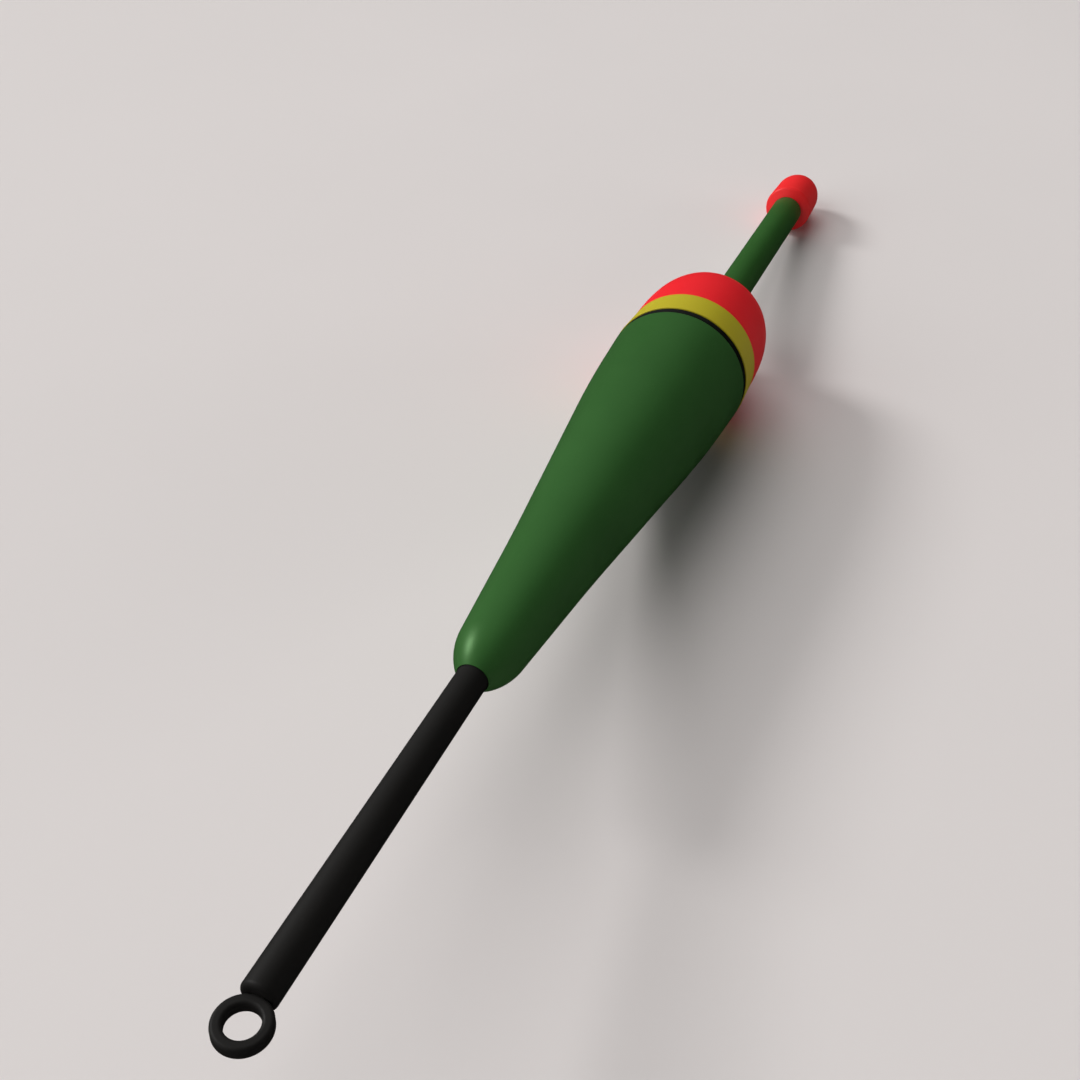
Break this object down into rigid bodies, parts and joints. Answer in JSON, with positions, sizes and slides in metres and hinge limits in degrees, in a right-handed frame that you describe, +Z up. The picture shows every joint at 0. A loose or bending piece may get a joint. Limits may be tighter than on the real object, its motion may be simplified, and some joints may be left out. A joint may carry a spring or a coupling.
{
  "type": "fishing float",
  "caption": "Loadable fishing float with a line eye on a thin stem, a hollow tapered body, a screw-on domed cap with a coloured band, and a push-in antenna with a pull-off sight tip.",
  "frame": {"origin": "centre of the base of the box around the float as it lies on its side on a level surface", "axes": "+Z up; +X level, from the line eye towards the sight tip, above the float's own axis, which drops 5.6 degrees towards the tip; +Y to the side"},
  "size_m": [0.1988, 0.021, 0.0243],
  "materials": {
    "black_plastic": "satin black moulded plastic",
    "green_body": "semi-gloss green paint on a moulded shell",
    "brass_ballast": "turned brass",
    "gasket_rubber": "black rubber",
    "white_nylon": "natural nylon",
    "yellow_band": "satin yellow moulded plastic",
    "red_cap": "satin fluorescent red paint",
    "green_antenna": "semi-gloss green plastic tube",
    "red_tip": "satin fluorescent red moulded plastic"
  },
  "bodies": {
    "hull": {"eye_ring": "black_plastic", "stem_tube": "black_plastic", "stem_plug": "black_plastic", "body_shell": "green_body", "ballast_slug": "brass_ballast", "trim_discs": "brass_ballast", "ballast_nut": "brass_ballast"},
    "seal": {"gasket": "gasket_rubber"},
    "cap": {"thread_ring": "white_nylon", "colour_band": "yellow_band", "cap_shell": "red_cap", "socket_bush": "white_nylon"},
    "antenna": {"antenna_tube": "green_antenna", "foot_plug": "white_nylon", "tip_pin": "white_nylon"},
    "tip": {"sight_tip": "red_tip"}
  },
  "joints": [
    {"name": "cap_lift", "type": "slide", "parent": "hull", "child": "seal", "axis": [0.9952, 0, -0.0976], "range_m": [0, 0.008]},
    {"name": "cap_turn", "type": "hinge", "parent": "seal", "child": "cap", "pos_m": [0.02104, 0, 0.01124], "axis": [0.9952, 0, -0.0976], "range_deg": [0, 1440]},
    {"name": "antenna_pull", "type": "slide", "parent": "cap", "child": "antenna", "axis": [0.9952, 0, -0.0976], "range_m": [0, 0.014]},
    {"name": "tip_pull", "type": "slide", "parent": "antenna", "child": "tip", "axis": [0.9952, 0, -0.0976], "range_m": [0, 0.009]}
  ],
  "couplings": [
    {"joint": "cap_turn", "follows": "cap_lift", "rad_per_m": 3141.6}
  ]
}
